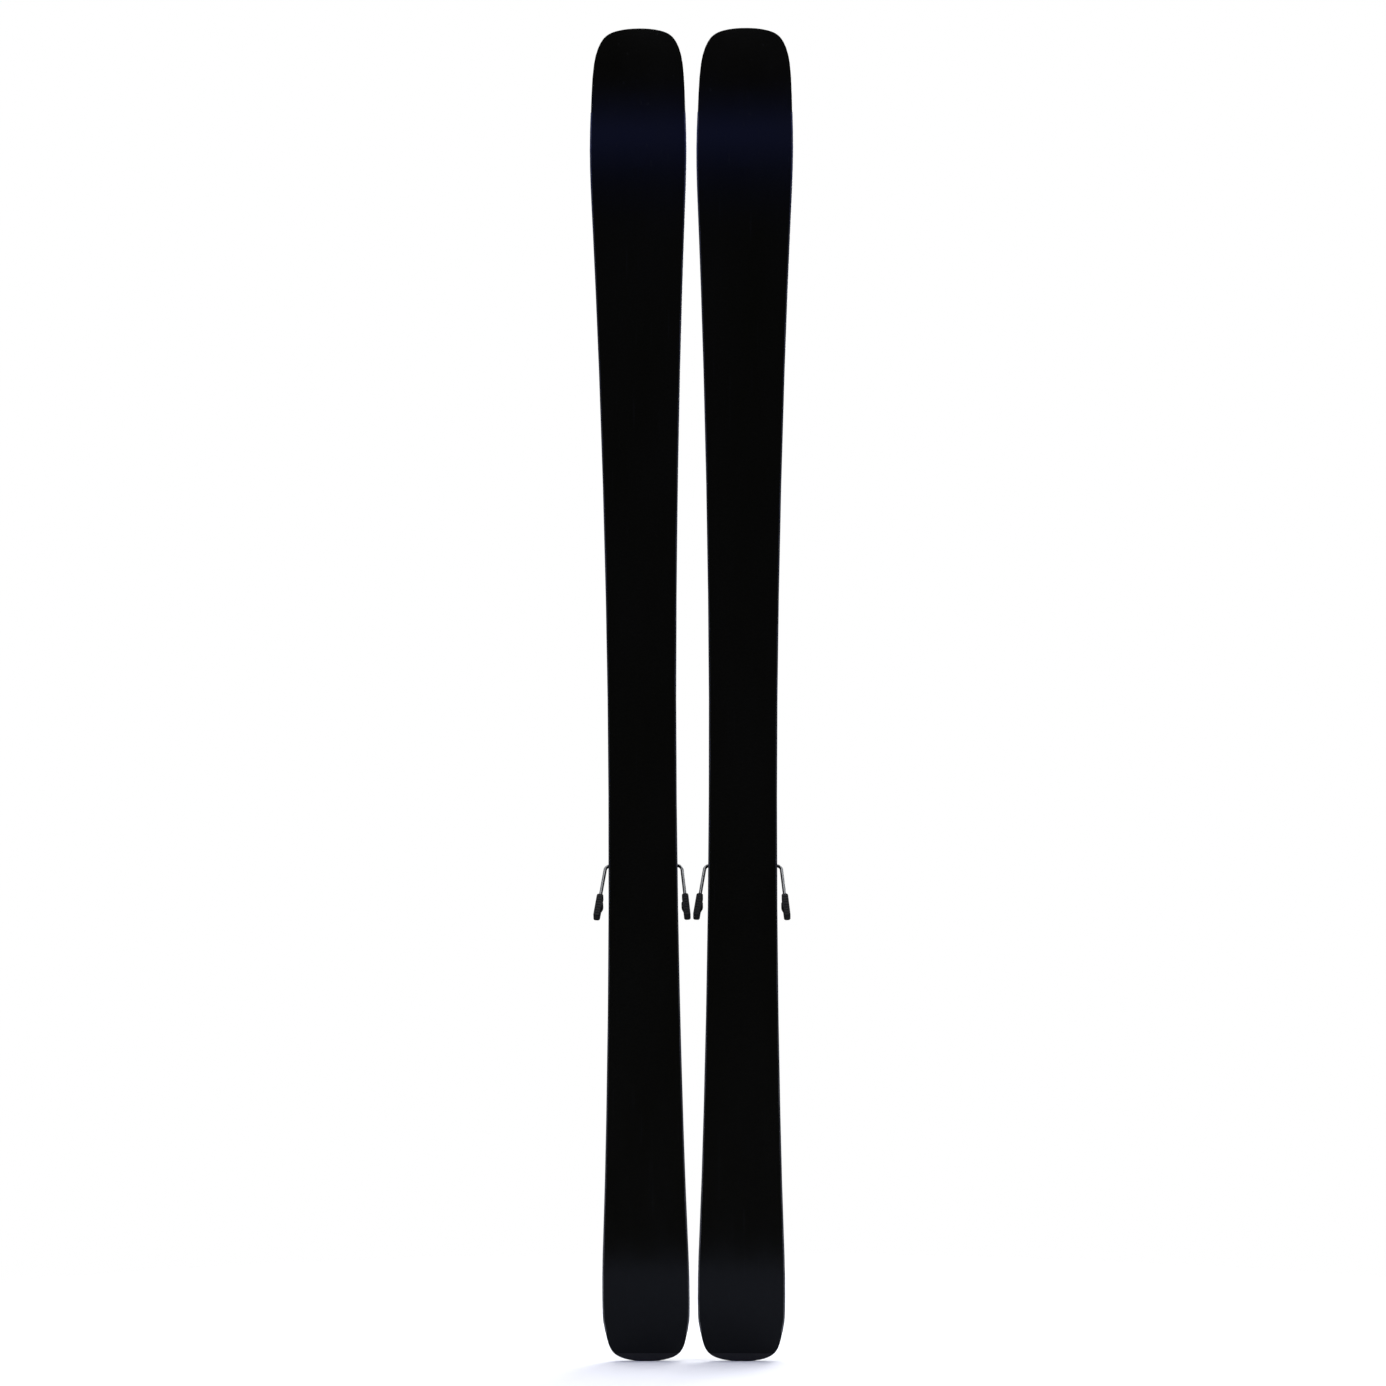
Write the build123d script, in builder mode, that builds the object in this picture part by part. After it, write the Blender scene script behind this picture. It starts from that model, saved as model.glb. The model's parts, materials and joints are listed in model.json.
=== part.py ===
from build123d import *
import math
import os

os.makedirs("parts", exist_ok=True)

# A pair of alpine skis standing on their tails, side by side, each with a toe piece,
# a heel piece and a ski brake. Every piece is made once in the frame of one ski and
# is then written twice, for the left and the right ski.
#
# Frame of one ski: Z runs from the tail's end to the tip, X across the ski, and Y
# stands off the ski. Y = 0 is the running surface below the boot and +Y is the
# binding's side.

# ---------------------------------------------------------------- driving dimensions
SKI_LENGTH = 1784.3        # straight length, tail end to tip
HALF_SHOVEL = 64.5         # half width at the widest place of the tip
HALF_WAIST = 45.45
HALF_TAIL = 58.3
Z_SHOVEL = 1618.0
Z_WAIST = 800.0
Z_TAIL = 90.0

CAMBER = 4.0               # height of the waist over the contact points
TIP_RISE = 55.0
Z_TIP_RISE = 1500.0
TAIL_RISE = 15.0
Z_TAIL_RISE = 130.0
SKI_HEIGHT = 19.0          # thickness below the binding
END_HEIGHT = 7.0           # thickness at tip and tail

BASE_SHEET = 1.3
EDGE = 2.0                 # steel edge, square section
Z_EDGES = (40.0, 1667.0)
EDGE_STEP = 0.4            # the outline beyond the edges is set back by this
SIDEWALL = 7.0
Z_CORE = (26.0, 1722.0)
TOP_SHEET = 1.0
TOP_STEP = 1.6             # topsheet's set-back from the edges
GUARD_DEPTH = 11.0         # tail guard, along the ski

AXLE_Z = 661.5             # brake axle
AXLE_Y = 28.0
BOOT_Y = 38.0              # height of the boot's sole over the running surface

WIRE = 4.5                 # brake wire diameter
CRANK = 40.0               # brake axle to pedal crossbar
ARM_ANGLE = 50.0           # lowered brake arm, below the running surface's plane
ARM = 98.0                 # brake axle to the wire's end
ARM_X = 50.6               # centre of the arm beside the ski, at the axle
ARM_SPREAD = 9.2           # how much further out the wire's end lies
CRANK_X = 24.0
PRESS = 48.0               # how far the brake turns when the boot is in, degrees
FOOT = (61.0, 104.5)       # the moulded foot on an arm, measured along it from the axle
FOOT_WIDTH = 8.8
FOOT_DEPTH = 10.0

HEEL_Z = 596.0             # axle the heel housing swings on
HEEL_Y = 46.0
HEEL_PIN = 3.0             # its radius
LEVER_Z = 574.0            # pivot of the opening lever
LEVER_Y = 74.0
WING_X = 20.0              # toe wing pins
WING_Z = 1003.0
WING_PIN = 3.0
PLAY = 0.05                # radial clearance of a shaft in its bore
SCREW_R = 2.75
SPRING_Y = 47.0            # line of both release springs and their screws
HEEL_SPRING_Y = 60.0

TAIL_PITCH = 63.2          # centre plane of the pair to a ski's axis, at the floor
SPLAY = 0.28               # each ski leans outwards towards its tip, degrees
BASE_Y = -14.5             # moves the pair's box to be centred over the floor origin

SIDES = {"left": -1, "right": 1}
TOE_SCREWS = [(x, z) for x in (-24.5, 24.5) for z in (979, 1057)]
HEEL_SCREWS = [(x, z) for x in (-14, 14) for z in (570, 628)]
TOP_Y = SKI_HEIGHT         # the ski's upper face below the binding


# ---------------------------------------------------------------- helpers
def place(side):
    """Where one ski's frame stands in the pair's frame."""
    return Location((side * TAIL_PITCH, BASE_Y, 0), (0, side * SPLAY, 0))


def write_pair(piece, node):
    """Write a piece of one ski twice, on the left and on the right ski."""
    for name, side in SIDES.items():
        with BuildPart() as placed:
            add(piece.part.moved(place(side)))
        placed.part.label = f"{name}_{node}"
        export_step(placed.part, f"parts/{name}_{node}.step")


def base_height(z):
    """Height of the running surface: camber, rising tip and kicked tail."""
    middle = (Z_TIP_RISE + Z_TAIL_RISE) / 2
    u = min(1.0, abs(z - middle) / (Z_TIP_RISE - middle))
    tip = max(0.0, (z - Z_TIP_RISE) / (SKI_LENGTH - Z_TIP_RISE))
    tail = max(0.0, (Z_TAIL_RISE - z) / Z_TAIL_RISE)
    return -CAMBER * u * u + (TIP_RISE + CAMBER) * tip**2.4 + (TAIL_RISE + CAMBER) * tail**1.9


def thickness(z):
    """Thickness of the ski, full below the binding and thin at both ends."""
    if z < 560:
        u = (z - 30) / 530
    else:
        u = (1560 - z) / 500
    u = min(1.0, max(0.0, u))
    return END_HEIGHT + (SKI_HEIGHT - END_HEIGHT) * math.sin(u * math.pi / 2) ** 1.1


STATIONS = [-12, 0, 30, 70, 130, 220, 320, 440, 560, 700, 815, 930, 1060, 1180, 1300, 1400,
            1500, 1560, 1620, 1670, 1715, 1750, 1780, 1792]


def strip(low, high):
    """A layer over the whole length, wider than the ski. low and high give (y) at z."""
    with BuildPart() as layer:
        with BuildSketch(Plane.YZ):
            with BuildLine():
                under = Spline(*[(low(z), z) for z in STATIONS])
                over = Spline(*[(high(z), z) for z in STATIONS])
                Line(under @ 0, over @ 0)
                Line(under @ 1, over @ 1)
            make_face()
        extrude(amount=80, both=True)
    return layer.part


def plan(inset, z_from=-20.0, z_to=SKI_LENGTH + 20.0):
    """The ski's outline, set in by inset, as a tall prism between two heights."""
    i = inset
    with BuildPart() as prism:
        with BuildSketch(Plane.XZ.offset(-90)):
            with BuildLine():
                Spline(
                    (0, i * 0.3), (31.4 - i * 0.7, 3.8 + i * 0.3), (42.2 - i, 9.3), (50.8 - i, 22.7),
                    (55.1 - i, 41.4), (HALF_TAIL - i, Z_TAIL),
                    tangents=[(1, 0), (0, 1)],
                )
                Spline(
                    (HALF_TAIL - i, Z_TAIL), (55.6 - i, 188), (51.7 - i, 312), (47.6 - i, 508),
                    (HALF_WAIST - i, Z_WAIST),
                    tangents=[(0, 1), (0, 1)],
                )
                Spline(
                    (HALF_WAIST - i, Z_WAIST), (48.0 - i, 1069), (55.0 - i, 1350),
                    (61.9 - i, 1530), (HALF_SHOVEL - i, Z_SHOVEL),
                    tangents=[(0, 1), (0, 1)],
                )
                Spline(
                    (HALF_SHOVEL - i, Z_SHOVEL), (63.2 - i, 1675), (60.8 - i, 1725.7),
                    (54.9 - i, 1755.8 - i / 2), (42.6 - i, 1775 - i * 0.8), (25, 1782 - i),
                    (0, SKI_LENGTH - i),
                    tangents=[(0, 1), (-1, 0)],
                )
                mirror(about=Plane.YZ)
            make_face()
        extrude(amount=180)
        with BuildSketch(Plane.XY.offset(z_from)):
            Rectangle(200, 400)
        extrude(amount=z_to - z_from, mode=Mode.INTERSECT)
    return prism.part


def studs(places, radius, low, high):
    """Round posts that stand off the ski, from height low to high. places are (x, z)."""
    with BuildPart() as posts:
        with BuildSketch(Plane.XZ.offset(-high)):
            with Locations(*places):
                Circle(radius)
        extrude(amount=high - low)
    return posts.part


def slab(low, high, half_x, z_from, z_to, corner=0.0):
    """A flat block between two heights, its corners in plan rounded if corner is given."""
    with BuildPart() as block:
        with BuildSketch(Plane.XZ.offset(-high)):
            with Locations((0, (z_from + z_to) / 2)):
                if corner:
                    RectangleRounded(2 * half_x, z_to - z_from, corner)
                else:
                    Rectangle(2 * half_x, z_to - z_from)
        extrude(amount=high - low)
    return block.part


def pin(y, z, radius, x_from, x_to):
    """A round pin across the ski."""
    with BuildPart() as rod:
        with BuildSketch(Plane.YZ.offset(x_from)):
            with Locations((y, z)):
                Circle(radius)
        extrude(amount=x_to - x_from)
    return rod.part


def shaft(y, radius, z_from, z_to):
    """A round shaft along the ski."""
    with BuildPart() as rod:
        with BuildSketch(Plane.XY.offset(z_from)):
            with Locations((0, y)):
                Circle(radius)
        extrude(amount=z_to - z_from)
    return rod.part


def side_profile(points, x_from, x_to, corner=0.0):
    """A block across the ski from its side outline, points given as (y, z)."""
    with BuildPart() as block:
        with BuildSketch(Plane.YZ.offset(x_from)) as outline:
            with BuildLine():
                Polyline(*points, close=True)
            make_face()
            if corner:
                fillet(outline.vertices(), corner)
        extrude(amount=x_to - x_from)
    return block.part


def coil(radius, wire, pitch, turns):
    """A wire spring standing along Z from the origin."""
    with BuildPart() as spring:
        with BuildLine():
            run = Helix(pitch=pitch, height=pitch * turns, radius=radius)
        with BuildSketch(Plane(origin=run @ 0, z_dir=run % 0)):
            Circle(wire / 2)
        sweep(path=run, is_frenet=True)
    return spring.part


# ---------------------------------------------------------------- the ski
def above(rise):
    """The line that runs at a fixed height above the running surface."""
    return lambda z: base_height(z) + rise


def below_top(depth):
    """The line that runs at a fixed depth below the ski's upper face."""
    return lambda z: base_height(z) + thickness(z) - depth


with BuildPart() as tail_guard:
    add(strip(above(0.15), below_top(0)))
    add(plan(EDGE_STEP + 0.3, 0, GUARD_DEPTH), mode=Mode.INTERSECT)
write_pair(tail_guard, "tail_guard")

with BuildPart() as steel_edges:
    add(strip(above(0), above(EDGE)))
    add(plan(0, *Z_EDGES), mode=Mode.INTERSECT)
    add(plan(EDGE), mode=Mode.SUBTRACT)
write_pair(steel_edges, "steel_edges")

with BuildPart() as base:
    add(strip(above(0), above(BASE_SHEET)))
    add(plan(EDGE_STEP, GUARD_DEPTH), mode=Mode.INTERSECT)
    add(steel_edges.part, mode=Mode.SUBTRACT)
write_pair(base, "base")

with BuildPart() as wood_core:
    add(strip(above(BASE_SHEET), below_top(TOP_SHEET)))
    add(plan(SIDEWALL, *Z_CORE), mode=Mode.INTERSECT)
    add(studs(TOE_SCREWS + HEEL_SCREWS, SCREW_R, 9, 30), mode=Mode.SUBTRACT)
write_pair(wood_core, "wood_core")

with BuildPart() as sidewalls:
    add(strip(above(BASE_SHEET), below_top(TOP_SHEET)))
    add(plan(EDGE_STEP, GUARD_DEPTH), mode=Mode.INTERSECT)
    add(steel_edges.part, mode=Mode.SUBTRACT)
    add(plan(SIDEWALL, *Z_CORE), mode=Mode.SUBTRACT)
write_pair(sidewalls, "sidewalls")

with BuildPart() as topsheet:
    add(strip(below_top(TOP_SHEET), below_top(0)))
    add(plan(TOP_STEP, GUARD_DEPTH), mode=Mode.INTERSECT)
    add(studs(TOE_SCREWS + HEEL_SCREWS, SCREW_R, 9, 30), mode=Mode.SUBTRACT)
write_pair(topsheet, "topsheet")

# ---------------------------------------------------------------- fasteners
SCREW_TIP = 9.5            # how deep the screws reach, over the running surface
TOE_PLATE_Y = TOP_Y + 6.0  # top of the toe base plate
TRACK_Y = TOP_Y + 5.0      # top of the heel track


def turned(points, x, z):
    """A round body standing off the ski at (x, z), from its half outline of (y, radius)."""
    with BuildPart() as body:
        with BuildSketch(Plane.YX.offset(-z)):
            with BuildLine():
                Polyline(*points, close=True)
            make_face()
        revolve(axis=Axis((0, 0, z), (0, 1, 0)))
    return body.part.moved(Location((x, 0, 0)))


def add_screws(places, head_y):
    """Countersunk mounting screws, their cross-slotted heads flush at head_y."""
    for x, z in places:
        add(turned([(SCREW_TIP, 0), (SCREW_TIP + 3, SCREW_R), (head_y - 3.4, SCREW_R),
                    (head_y - 0.8, 4.6), (head_y, 4.6), (head_y, 0)], x, z))
        for cross in (Box(5.0, 3.0, 1.1, mode=Mode.PRIVATE), Box(1.1, 3.0, 5.0, mode=Mode.PRIVATE)):
            add(cross.moved(Location((x, head_y, z))), mode=Mode.SUBTRACT)


def cut_countersinks(places, head_y):
    """The holes that those screws sit in."""
    for x, z in places:
        add(turned([(SCREW_TIP, 0), (SCREW_TIP, SCREW_R), (head_y - 3.4, SCREW_R),
                    (head_y - 0.8, 4.6), (head_y + 20, 4.6), (head_y + 20, 0)], x, z),
            mode=Mode.SUBTRACT)


with BuildPart() as mounting_screws:
    add_screws(TOE_SCREWS, TOE_PLATE_Y)
    add_screws(HEEL_SCREWS, TRACK_Y)
write_pair(mounting_screws, "mounting_screws")


# ---------------------------------------------------------------- toe piece
PISTON_Z = 1010.4          # rear face of the piston, just clear of the wing hubs
AFD_Z = (928.0, 958.0)
WING_Y = (38.0, 62.0)      # height of the wings' hubs

with BuildPart() as toe_base:
    add(slab(TOP_Y, TOE_PLATE_Y, 31, 968, 1066, 8))
    add(slab(TOP_Y, 33, 29, 925, 968.5, 4))
    # T slot across the pedestal for the sliding plate
    add(side_profile([(33.5, 940.7), (31, 940.7), (31, 937.7), (28.2, 937.7), (28.2, 948.3),
                      (31, 948.3), (31, 945.3), (33.5, 945.3)], -40, 40), mode=Mode.SUBTRACT)
    cut_countersinks(TOE_SCREWS, TOE_PLATE_Y)
write_pair(toe_base, "toe_base")

with BuildPart() as afd_plate:
    add(slab(33.4, BOOT_Y, 26, *AFD_Z, 4))
    add(slab(30.5, 34, 25, 941, 945))
    add(slab(28.5, 30.7, 25, 938, 948))
write_pair(afd_plate, "afd_plate")

with BuildPart() as toe_housing:
    with BuildSketch(Plane.YZ.offset(-29)) as outline:
        with BuildLine():
            Polyline(
                (TOE_PLATE_Y, 988), (TOE_PLATE_Y, 1062), (41, 1066.5), (61, 1056), (69, 1032),
                (69, 990), (63, 990), (63, 1014), (37, 1014), (37, 988), close=True,
            )
        make_face()
        fillet(outline.vertices().filter_by(lambda v: v.Z > 1030 and v.Y > 30), 6)
    extrude(amount=58)
    with BuildSketch(Plane.XZ.offset(-90)) as footprint:
        with BuildLine():
            Polyline((-28, 986), (-28, 1022), (-17.5, 1048), (-16, 1070), (16, 1070), (17.5, 1048),
                     (28, 1022), (28, 986), close=True)
        make_face()
        fillet(footprint.vertices(), 5)
    extrude(amount=90, mode=Mode.INTERSECT)
    add(side_profile([(40.7, 1000), (53.3, 1000), (53.3, 1016.2), (40.7, 1016.2)], -21.5, 21.5),
        mode=Mode.SUBTRACT)
    add(shaft(SPRING_Y, 9.2, 1014, 1054), mode=Mode.SUBTRACT)
    add(shaft(SPRING_Y, 5 + PLAY, 1050, 1080), mode=Mode.SUBTRACT)
    add(studs([(-WING_X, WING_Z), (WING_X, WING_Z)], WING_PIN, 30, 90), mode=Mode.SUBTRACT)
    cut_countersinks(TOE_SCREWS, TOE_PLATE_Y)
write_pair(toe_housing, "toe_housing")

with BuildPart() as toe_wing_pins:
    add(studs([(-WING_X, WING_Z), (WING_X, WING_Z)], WING_PIN, 30, 69.6))
write_pair(toe_wing_pins, "toe_wing_pins")

with BuildPart() as toe_piston:
    add(side_profile([(41, PISTON_Z), (53, PISTON_Z), (53, PISTON_Z + 5), (41, PISTON_Z + 5)], -21, 21))
    add(shaft(SPRING_Y, 4.6, PISTON_Z + 4, 1026))
write_pair(toe_piston, "toe_piston")

with BuildPart() as toe_spring:
    add(coil(7.0, 2.2, 4.5, 7).moved(Location((0, SPRING_Y, 1017.4))))
write_pair(toe_spring, "toe_spring")


def slotted_screw(y, radius, z_head, z_neck, z_tip, flange):
    """An adjusting screw along the ski: slotted head at z_head, flange held inside a housing.

    The head may look either way along the ski; z_tip is the flange's inner face.
    """
    outward = 1 if z_head > z_tip else -1
    with BuildPart() as one:
        add(shaft(y, radius, min(z_head, z_neck), max(z_head, z_neck)))
        add(shaft(y, flange, min(z_neck, z_tip), max(z_neck, z_tip)))
        with BuildSketch(Plane.XY.offset(z_head - 1.6 * (outward + 1) / 2)):
            with Locations((0, y)):
                Rectangle(2 * radius - 2, 1.4)
                Rectangle(1.4, 2 * radius - 2)
        extrude(amount=1.6, mode=Mode.SUBTRACT)
    return one


toe_din_screw = slotted_screw(SPRING_Y, 5.0, 1068.0, 1053.8, 1051.2, 8.8)
write_pair(toe_din_screw, "toe_din_screw")


with BuildPart() as toe_wing:
    # hub on its pin, arm out to the boot's toe, lip over the boot's lug
    add(studs([(-WING_X, WING_Z)], 6.8, *WING_Y))
    with BuildSketch(Plane.XZ.offset(-58)) as arm:
        with BuildLine():
            Polyline((-15, 1000), (-27, 1004), (-34, 996), (-42, 966), (-36, 959), (-30.5, 964),
                     (-31, 978), close=True)
        make_face()
        fillet(arm.vertices().filter_by(lambda v: v.Z < 1000), 2.4)
    extrude(amount=17)
    with BuildSketch(Plane.XZ.offset(-WING_Y[1])) as lip:
        with BuildLine():
            Polyline((-15, 1000), (-27, 1004), (-34, 996), (-42, 966), (-36, 959), (-21, 966),
                     (-19, 980), close=True)
        make_face()
        fillet(lip.vertices().filter_by(lambda v: v.Z < 1000), 2.4)
    extrude(amount=4.2)
    add(studs([(-WING_X, WING_Z)], WING_PIN + PLAY, 30, 70), mode=Mode.SUBTRACT)

for wing_side in SIDES.values():
    wing = toe_wing.part if wing_side < 0 else toe_wing.part.mirror(Plane.YZ)
    for name, side in SIDES.items():
        where = "outer" if wing_side == side else "inner"
        with BuildPart() as placed:
            add(wing.moved(place(side)))
        placed.part.label = f"{name}_toe_wing_{where}"
        export_step(placed.part, f"parts/{name}_toe_wing_{where}.step")

# ---------------------------------------------------------------- heel track and carriage
TRACK_Z = (556.0, 640.0)
RAIL_X = 21.0
CARRIAGE_Z = (566.0, 652.0)
CARRIAGE_Y = 29.0
WORM_Y = 27.6
WORM_R = 4.0
RACK_PITCH = 3.0

with BuildPart() as heel_track:
    add(slab(TOP_Y, 21.5, 17, *TRACK_Z, 3))
    add(slab(21.5, TRACK_Y, RAIL_X, *TRACK_Z, 3))
    add(slab(23.2, TRACK_Y + 1, 4.7, TRACK_Z[0] - 1, TRACK_Z[1] + 1), mode=Mode.SUBTRACT)
    with BuildSketch(Plane.XZ.offset(-TRACK_Y)):
        with GridLocations(0, RACK_PITCH, 1, 25):
            with Locations((0, (TRACK_Z[0] + TRACK_Z[1]) / 2)):
                Rectangle(7.4, 1.5)
    extrude(amount=2.2, mode=Mode.SUBTRACT)
    cut_countersinks(HEEL_SCREWS, TRACK_Y)
write_pair(heel_track, "heel_track")

with BuildPart() as heel_carriage:
    add(slab(19.4, CARRIAGE_Y, 30, *CARRIAGE_Z, 4))
    add(slab(19, 24.3, RAIL_X + 0.3, 560, 660), mode=Mode.SUBTRACT)
    for side in (-1, 1):
        hook = slab(19.4, 21.2, 2.1, *CARRIAGE_Z).moved(Location((side * (RAIL_X - 1.4), 0, 0)))
        add(hook)
        cheek = side_profile([(CARRIAGE_Y - 1, 578), (45, 583), (55, 590), (55, 602), (45, 609),
                              (CARRIAGE_Y - 1, 616)], 22, 28, 2.5)
        add(cheek.mirror(Plane.YZ) if side < 0 else cheek)
    add(slab(24.3, 33.5, 8, CARRIAGE_Z[0], 610, 2))
    add(shaft(WORM_Y, WORM_R + 0.4, 574, 606), mode=Mode.SUBTRACT)
    add(slab(24, WORM_Y, WORM_R + 0.4, 574, 606), mode=Mode.SUBTRACT)
    add(shaft(WORM_Y, 3 + PLAY, 560, 576), mode=Mode.SUBTRACT)
    add(pin(HEEL_Y, HEEL_Z, HEEL_PIN, -40, 40), mode=Mode.SUBTRACT)
write_pair(heel_carriage, "heel_carriage")

with BuildPart() as length_screw:
    add(shaft(WORM_Y, WORM_R, 574.5, 605.5))
    add(shaft(WORM_Y, 3, 564, 575))
    add(shaft(WORM_Y, 4.2, 557, 565.5))
    with BuildSketch(Plane.XY.offset(557)):
        with Locations((0, WORM_Y)):
            Rectangle(6, 1.3)
            Rectangle(1.3, 6)
    extrude(amount=1.8, mode=Mode.SUBTRACT)
write_pair(length_screw, "length_screw")

with BuildPart() as heel_axle:
    add(pin(HEEL_Y, HEEL_Z, HEEL_PIN, -29.5, 29.5))
write_pair(heel_axle, "heel_axle")

# ---------------------------------------------------------------- heel housing
with BuildPart() as heel_housing:
    add(side_profile([(36, 592), (36, 641), (73, 641), (80, 630), (84, 604), (81, 574), (72, 562),
                      (55, 562), (48, 572)], -20, 20, 3))
    add(pin(LEVER_Y, LEVER_Z, 3, -25.4, 25.4))
    add(shaft(HEEL_SPRING_Y, 10, 566, 632), mode=Mode.SUBTRACT)
    add(shaft(HEEL_SPRING_Y, 5 + PLAY, 555, 570), mode=Mode.SUBTRACT)
    add(pin(HEEL_Y, HEEL_Z, HEEL_PIN + PLAY, -40, 40), mode=Mode.SUBTRACT)
write_pair(heel_housing, "heel_housing")

with BuildPart() as heel_cup:
    with BuildSketch(Plane.XZ.offset(-74)):
        with Locations((0, 657)):
            RectangleRounded(68, 32, 9)
        with Locations((0, 694.5)):
            Circle(27, mode=Mode.SUBTRACT)
    extrude(amount=30)
    with BuildSketch(Plane.XZ.offset(-68.5)):
        with Locations((0, 694.5)):
            Circle(35)
    extrude(amount=40, mode=Mode.SUBTRACT)
    add(slab(34, 44.5, 18, 641, 652))
    add(slab(34, 37, 18, 641, 671, 3))
write_pair(heel_cup, "heel_cup")

with BuildPart() as heel_spring:
    add(coil(8.0, 2.8, 6.0, 9).moved(Location((0, HEEL_SPRING_Y, 572))))
write_pair(heel_spring, "heel_spring")

heel_din_screw = slotted_screw(HEEL_SPRING_Y, 5.0, 556.0, 566.2, 569.0, 9.6)
write_pair(heel_din_screw, "heel_din_screw")

with BuildPart() as heel_lever:
    add(side_profile([(77, 556), (85, 558), (94, 528), (93, 519), (88, 519), (80, 546)],
                     -24.6, 24.6, 1.8))
    for x_from in (-24.6, 20.4):
        add(side_profile([(68, 569), (68, 578), (79, 581), (85, 572), (85, 553), (76, 553)],
                         x_from, x_from + 4.2, 2.5))
    add(pin(LEVER_Y, LEVER_Z, 3 + PLAY, -40, 40), mode=Mode.SUBTRACT)
write_pair(heel_lever, "heel_lever")

# ---------------------------------------------------------------- brake
BRAKE_TOP = 25.2           # upper face of the brake's base plate
LUG_X = (35.0, 41.4)
PEDAL_LENGTH = 44.0
PEDAL_END_Y = 27.6         # height at which the pedal's front end slides
HUB_R = 4.8                # the pedal's hub round the crossbar
HUB_X = 16.5
up = math.radians(ARM_ANGLE)
CROSSBAR_Y = AXLE_Y + CRANK * math.sin(up)
CROSSBAR_Z = AXLE_Z + CRANK * math.cos(up)
PEDAL_SLOPE = math.degrees(math.asin((CROSSBAR_Y - PEDAL_END_Y) / PEDAL_LENGTH))

with BuildPart() as brake_base:
    add(slab(19.5, BRAKE_TOP, 29, CARRIAGE_Z[1], 750, 4))
    add(slab(19.5, BRAKE_TOP, 29, CARRIAGE_Z[1], 665))
    add(slab(19.5, 23.4, LUG_X[1], 654, 669))
    for x_from in (-LUG_X[1], LUG_X[0]):
        add(side_profile([(20, 654), (33.5, 656), (33.5, 667), (20, 669)],
                         x_from, x_from + LUG_X[1] - LUG_X[0], 1.5))
    add(pin(AXLE_Y, AXLE_Z, WIRE / 2 + PLAY, -60, 60), mode=Mode.SUBTRACT)
    # trough that takes the pedal's hub when the brake is pressed down
    pressed = math.radians(ARM_ANGLE - PRESS)
    add(pin(AXLE_Y + CRANK * math.sin(pressed), AXLE_Z + CRANK * math.cos(pressed), HUB_R + 0.6,
            -HUB_X - 1, HUB_X + 1), mode=Mode.SUBTRACT)
write_pair(brake_base, "brake_base")

# The wire lies in one plane through the axle. On it, X runs across the ski and Y runs
# from the lowered arms up to the pedal's crossbar.
wire_plane = Plane(
    origin=(0, AXLE_Y, AXLE_Z), x_dir=(1, 0, 0), z_dir=(0, -math.cos(up), math.sin(up))
)

with BuildPart() as brake_wire:
    with BuildLine(wire_plane) as route:
        FilletPolyline(
            (-ARM_X - ARM_SPREAD, -ARM), (-ARM_X, 0), (-CRANK_X, 0), (-CRANK_X, CRANK),
            (CRANK_X, CRANK), (CRANK_X, 0), (ARM_X, 0), (ARM_X + ARM_SPREAD, -ARM),
            radius=[9, 6, 6, 6, 6, 9],
        )
    with BuildSketch(Plane(origin=route.line @ 0, z_dir=route.line % 0)):
        Circle(WIRE / 2)
    sweep(path=route.line)
write_pair(brake_wire, "brake_wire")

spread = math.degrees(math.atan2(ARM_SPREAD, ARM))
with BuildPart() as brake_feet:
    for side in (-1, 1):
        along_arm = Location((side * ARM_X, 0, 0), (0, 0, side * spread))
        with BuildSketch(Plane(wire_plane.location * along_arm)):
            with Locations((0, -(FOOT[0] + FOOT[1]) / 2)):
                RectangleRounded(FOOT_WIDTH, FOOT[1] - FOOT[0], 3)
            # a swelling on the side that faces the ski
            with BuildLine():
                Polyline((0, -75), (-side * 4.2, -75.5), (-side * 6.2, -79.5), (-side * 6.2, -83.5),
                         (-side * 4, -91), (0, -92), close=True)
            make_face()
        extrude(amount=FOOT_DEPTH / 2, both=True)
    fillet(brake_feet.edges().filter_by(lambda e: abs((e @ 0.5 - wire_plane.origin).dot(wire_plane.z_dir))
                                        > FOOT_DEPTH / 2 - 0.1), 1.2)
    add(brake_wire.part, mode=Mode.SUBTRACT)
write_pair(brake_feet, "brake_feet")

with BuildPart() as brake_springs:
    torsion = coil(3.2, 0.9, 1.0, 3.4).rotate(Axis.Y, 90)
    add(torsion.moved(Location((30.6, AXLE_Y, AXLE_Z))))
    add(torsion.moved(Location((-34.0, AXLE_Y, AXLE_Z))))
write_pair(brake_springs, "brake_springs")

with BuildPart() as brake_pedal:
    add(side_profile([(2.8, -6), (5, -6), (5, 30), (3.2, 43.5), (-1, 43.5), (-1, 40), (1.6, 34),
                      (2.8, 26)], -28, 28, 0.9))
    add(pin(0, 0, HUB_R, -HUB_X, HUB_X))
    add(pin(0, 0, WIRE / 2 + PLAY, -40, 40), mode=Mode.SUBTRACT)
brake_pedal.part = brake_pedal.part.moved(
    Location((0, CROSSBAR_Y, CROSSBAR_Z), (PEDAL_SLOPE, 0, 0))
)
write_pair(brake_pedal, "brake_pedal")
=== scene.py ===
import json
import math

import bmesh
import bpy
from mathutils import Matrix, Vector


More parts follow.
